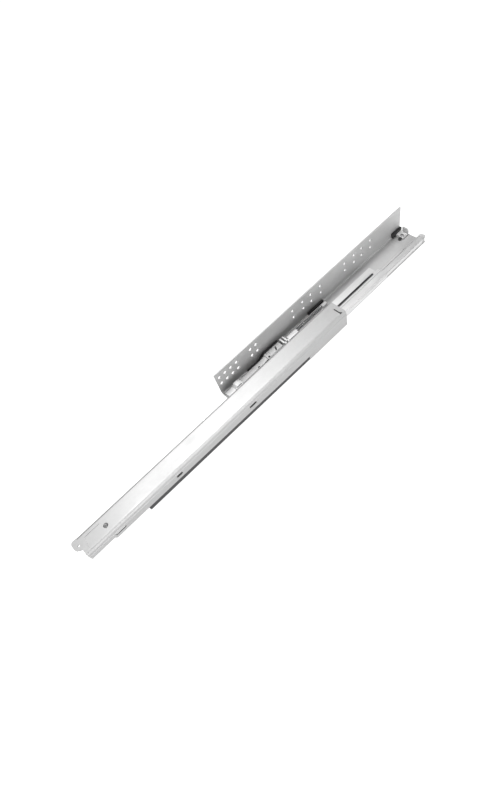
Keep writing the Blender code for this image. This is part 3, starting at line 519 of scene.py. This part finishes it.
def make_cabinet_details():
    refined("cabinet", (
        ("rail_end_cap", GREY_PLASTIC, 0.4),
        ("rear_stop", BLACK_PLASTIC, 0.3),
        ("rear_stop_buffer", BLACK_PLASTIC, 0.5),
        ("rear_stop_seat", DARK_GREY_PLASTIC, 0.25),
        ("rear_stop_pin", PIN, 0.12),
        ("rear_stop_plate", GREY_PLASTIC, 0.25),
        ("rail_rivet_1", PIN, 0.15),
        ("rail_rivet_2", PIN, 0.15),
        ("rail_rivet_3", PIN, 0.15),
        ("closer_tray", CASING_PLASTIC, 0.15),
        ("closer_front_block", LIGHT_PLASTIC, 0.4),
        ("damper_casing", CASING_PLASTIC, 0.15),
        ("closer_cover", CASING_PLASTIC, 0.18),
        ("closer_side_bar", BLACK_PLASTIC, 0.25),
        ("closer_end_block", BLACK_PLASTIC, 0.25),
        ("spring_anchor", DARK_GREY_PLASTIC, 0.3),
        # The grey rear floor stands where there is only the shelf in the flange's shade: painted shade.
        ("closer_rear_floor", DARK_GREY_PLASTIC, 0.1),
    ))
    refined("catch", (("catch", LIGHT_PLASTIC, 0.2), ("damper_rod", PIN, 0.1)))


SPRING_WIRE_RADIUS = 0.38 * MM
SPRING_TURNS = 44
SPRING_STEPS = 12


def make_spring():
    """An evenly wound coil between its anchor and the catch."""
    low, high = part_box("closer_spring")
    centre = (low + high) / 2
    wire = SPRING_WIRE_RADIUS
    radius = (high.x - low.x) / 2 - wire
    count = SPRING_TURNS * SPRING_STEPS
    curve = bpy.data.curves.new("spring_coil", "CURVE")
    curve.dimensions = "3D"
    curve.bevel_depth = wire
    curve.bevel_resolution = 2
    curve.use_fill_caps = True
    spline = curve.splines.new("POLY")
    spline.points.add(count)
    for i, point in enumerate(spline.points):
        angle = 2 * math.pi * i / SPRING_STEPS
        y = low.y + wire + (high.y - low.y - 2 * wire) * i / count
        x = centre.x + radius * math.cos(angle)
        z = centre.z + radius * math.sin(angle)
        point.co = (x, y, z, 1.0)
    coil = bpy.data.objects.new("spring_coil", curve)
    bpy.context.scene.collection.objects.link(coil)
    bake = bpy.data.meshes.new_from_object(coil)
    bpy.data.objects.remove(coil, do_unlink=True)
    spring = bpy.data.objects.new("spring_coil", bake)
    bpy.context.scene.collection.objects.link(spring)
    spring.data.shade_smooth()
    spring.data.materials.clear()
    spring.data.materials.append(SPRING_STEEL)
    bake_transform(spring)
    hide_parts("closer_spring")


# ---------------------------------------------------------------- middle member


MIDDLE_SHEET = 1.2 * MM
MIDDLE_RIGHT = 46.9 * MM
MIDDLE_TOP = 16.4 * MM
MIDDLE_STEP_TOP = 15.4 * MM
MIDDLE_BEAD = 1.1 * MM
MIDDLE_GROOVE = 38.1 * MM


def make_middle():
    half = MIDDLE_SHEET / 2
    right = MIDDLE_RIGHT - half
    top = MIDDLE_TOP
    step = MIDDLE_STEP_TOP - half
    corners = [
        (18.0 * MM, 8.8 * MM),
        (31.9 * MM, 8.8 * MM),
        (31.9 * MM, step, 0.8 * MM),
        (34.7 * MM, step, 0.6 * MM),
        (35.7 * MM, top - half, 0.6 * MM),
        (right, top - half, 0.9 * MM),
        (right, top - 2.2 * MM, 0.5 * MM),
        (right + MIDDLE_BEAD, top - 3.2 * MM, 0.6 * MM),
        (right, top - 4.2 * MM, 0.5 * MM),
        (right, 8.2 * MM),
        (43.1 * MM, 8.2 * MM),
    ]
    outline = sheet_outline(corners, MIDDLE_SHEET, 0.7 * MM, 6)
    outline = grooved(outline, MIDDLE_GROOVE, top)
    offset = (0.0, MIDDLE_FRONT, 0.0)
    middle = solid("middle_sheet", outline, 0.0, MIDDLE_LENGTH, along_y, offset)
    finish(middle, "middle", "middle_member", ZINC, 0.1 * MM)
    refined("middle", (("shoulder_strip", BLACK_PLASTIC, 0.15), ("middle_buffer", BLACK_PLASTIC, 0.2)))


# ---------------------------------------------------------------- drawer member


DRAWER_SHEET = 1.5 * MM
DRAWER_LEFT = 25.8 * MM
DRAWER_RIGHT = 52.3 * MM
DRAWER_TOP = 26.0 * MM
# The right wall's upper part is set in by this much.
DRAWER_STEP = 0.7 * MM
# Place along the wall, height, length and width, in millimetres.
WALL_SLOTS = ((40.0, 16.6, 14.0, 3.4), (123.5, 16.4, 8.5, 4.0), (237.5, 17.0, 11.0, 3.8))
PANEL_LINE_WIDTH = 0.9 * MM
PANEL_LINE_FLOOR = 25.55 * MM
ABOVE_DRAWER = 28.0 * MM


def make_drawer_member():
    half = DRAWER_SHEET / 2
    left = DRAWER_LEFT + half
    right = DRAWER_RIGHT - half
    top = DRAWER_TOP - half
    corners = [
        (left, 10.5 * MM),
        (left, top, 3.0 * MM),
        (right - DRAWER_STEP, top, 3.3 * MM),
        (right - DRAWER_STEP, 20.6 * MM, 0.8 * MM),
        (right, 19.4 * MM, 0.8 * MM),
        (right, 1.0 * MM),
    ]
    outline = sheet_outline(corners, DRAWER_SHEET, 1.9 * MM)
    offset = (0.0, DRAWER_FRONT, 0.0)
    member = solid("drawer_sheet", outline, 0.0, DRAWER_LENGTH, along_y, offset)
    lug = [Vector((42.5 * MM, 1.0 * MM)), Vector((42.5 * MM, -0.2 * MM))]
    lug += arc((35.6 * MM, -0.9 * MM), 5.9 * MM, -20, -90, 14)
    lug += arc((30.3 * MM, -3.3 * MM), 3.5 * MM, -90, -180, 12)
    lug += [Vector((26.8 * MM, 1.0 * MM))]
    tongue = solid("tongue", lug, DRAWER_TOP - DRAWER_SHEET, DRAWER_TOP, along_z, offset)
    boolean(member, tongue, "UNION")
    cut(member, drawer_wall_cuts() + drawer_top_cuts(), offset)
    cut(member, drawer_panel_lines(), offset)
    finish(member, "drawer", "drawer_member", ZINC_DRAWER_SHADED)


def drawer_wall_cuts():
    inner = 49.8 * MM
    outer = 53.3 * MM
    foot = [
        (-2.0 * MM, -2.0 * MM),
        (STRIP_END, -2.0 * MM),
        (STRIP_END, 7.3 * MM),
        (STRIP_START, 10.5 * MM),
        (32.0 * MM, 10.5 * MM),
        (30.0 * MM, 14.3 * MM),
        (-2.0 * MM, 14.3 * MM),
    ]
    prisms = [(foot, inner, outer, along_x)]
    for y, z, length, width in WALL_SLOTS:
        outline = slot_outline((y * MM, z * MM), length * MM, width * MM)
        prisms.append((outline, inner, outer, along_x))
    return prisms


def drawer_top_cuts():
    rear_slot = [
        (38.0 * MM, 392.4 * MM),
        (49.4 * MM, 392.4 * MM),
        (49.4 * MM, 395.4 * MM),
        (47.6 * MM, 395.4 * MM),
        (47.6 * MM, 393.9 * MM),
        (38.0 * MM, 393.9 * MM),
    ]
    low = 23.0 * MM
    high = ABOVE_DRAWER
    return [
        (circle((40.3 * MM, 32.3 * MM), 2.9 * MM), low, high, along_z),
        (circle((36.0 * MM, -0.9 * MM), 1.3 * MM), low, high, along_z),
        (rounded(rear_slot, 0.2 * MM, 3), low, high, along_z),
    ]


def drawer_panel_lines():
    """Shallow scored line across the front, turning back along the left."""
    width = PANEL_LINE_WIDTH
    across = [
        (33.0 * MM, 8.4 * MM),
        (47.0 * MM, 6.2 * MM),
        (47.0 * MM, 6.2 * MM + width),
        (33.0 * MM + width, 8.4 * MM + width),
        (33.0 * MM + width, 28.0 * MM),
        (33.0 * MM, 28.0 * MM),
    ]
    return [(across, PANEL_LINE_FLOOR, ABOVE_DRAWER, along_z)]


def make_drawer_details():
    refined("drawer", (
        ("guide_strip", BLACK_PLASTIC, 0.15),
        ("catch_striker", PIN, 0.2),
        ("front_plug", LIGHT_PLASTIC, 0.4),
        # The rear plug is an end insert such as real slides carry. It is made black so that the slot in
        # the top above it reads dark, which is painted shade.
        ("rear_plug", BLACK_PLASTIC, 0.3),
    ))


def make_bearings():
    refined("upper_cage", (("upper_cage", BLACK_PLASTIC, 0.2),))
    refined("lower_cage", (("lower_cage", LIGHT_PLASTIC, 0.15),))
    for number in (1, 2, 3, 4):
        name = "upper_roller_%d" % number
        refined(name, ((name, ROLLER, 0.2),))
        name = "lower_roller_%d" % number
        refined(name, ((name, PIN, 0.1),))


# ---------------------------------------------------------------- studio


FLOOR_REACH = 40.0
FLOOR_GAP = 0.4 * MM
FLOOR_GLOW = 0.98
SKY_STRENGTH = 0.09
LIGHTS_AIM = (0.03, -0.1, 0.0)
# Name, place and size in metres, and power in watts.
SOFTBOXES = (
    ("softbox_key", (-0.27, -0.16, 1.15), (0.3, 0.3), 14.2),
    ("softbox_left", (-0.71, 0.10, 1.15), (0.5, 0.5), 1.8),
    ("softbox_right", (0.64, -0.05, 1.00), (0.5, 0.9), 5.2),
    ("softbox_low", (1.0, -0.3, 0.36), (1.2, 0.4), 8.0),
    ("softbox_rear", (0.10, 1.10, 0.7), (0.6, 0.4), 0.5),
)
CAMERA_PLACE = Vector((0.32670, -0.28498, 0.46613))
CAMERA_AIM = Vector((0.03871, -0.15494, 0.0))
CAMERA_ROLL = math.radians(-22.72)
CAMERA_LENS = 35.069
CAMERA_SENSOR = 36.0
CAMERA_NEAR = 0.01


def make_floor():
    shape = bmesh.new()
    size = FLOOR_REACH
    corners = ((-size, -size), (size, -size), (size, size), (-size, size))
    shape.faces.new([shape.verts.new((x, y, 0.0)) for x, y in corners])
    mesh = bpy.data.meshes.new("studio_floor")
    shape.to_mesh(mesh)
    shape.free()
    floor = bpy.data.objects.new("studio_floor", mesh)
    bpy.context.scene.collection.objects.link(floor)
    floor.location.z = CAD_BOUNDS[0][2] - FLOOR_GAP
    n = Nodes("studio_light_table")
    n.set(Base_Color=grey(0.22), Roughness=0.9)
    n.set(Emission_Color=grey(1.0), Emission_Strength=FLOOR_GLOW)
    n.shader.inputs["Specular IOR Level"].default_value = 0.1
    mesh.materials.append(n.material)


def add_softbox(name, place, size, power):
    light = bpy.data.lights.new(name, "AREA")
    light.shape = "RECTANGLE"
    light.size = size[0]
    light.size_y = size[1]
    light.energy = power
    obj = bpy.data.objects.new(name, light)
    bpy.context.scene.collection.objects.link(obj)
    obj.location = place
    direction = Vector(LIGHTS_AIM) - Vector(place)
    obj.rotation_euler = direction.to_track_quat("-Z", "Y").to_euler()


def make_sky():
    """A faint even dome, so that no side of the slide is black."""
    world = bpy.data.worlds.new("studio")
    world.use_nodes = True
    back = world.node_tree.nodes["Background"]
    back.inputs["Color"].default_value = (1.0, 1.0, 1.0, 1.0)
    back.inputs["Strength"].default_value = SKY_STRENGTH
    bpy.context.scene.world = world


def make_studio():
    make_sky()
    for name, place, size, power in SOFTBOXES:
        add_softbox(name, place, size, power)
    bpy.context.scene.view_settings.view_transform = "Standard"


def make_camera():
    """Above and to the right, rolled so that the slide runs up the picture from left to right."""
    forward = (CAMERA_AIM - CAMERA_PLACE).normalized()
    level = forward.cross(Vector((0.0, 0.0, 1.0))).normalized()
    upright = level.cross(forward)
    right = level * math.cos(CAMERA_ROLL) + upright * math.sin(CAMERA_ROLL)
    up = right.cross(forward)
    camera = bpy.data.cameras.new("camera")
    camera.sensor_fit = "HORIZONTAL"
    camera.sensor_width = CAMERA_SENSOR
    camera.lens = CAMERA_LENS
    camera.clip_start = CAMERA_NEAR
    obj = bpy.data.objects.new("camera", camera)
    bpy.context.scene.collection.objects.link(obj)
    rotation = Matrix((right, up, -forward)).transposed()
    obj.matrix_world = Matrix.Translation(CAMERA_PLACE) @ rotation.to_4x4()
    bpy.context.scene.camera = obj


make_camera()
make_bracket()
make_rail()
make_cabinet_details()
make_spring()
make_middle()
make_drawer_member()
make_drawer_details()
make_bearings()
make_floor()
make_studio()

bpy.context.view_layer.update()
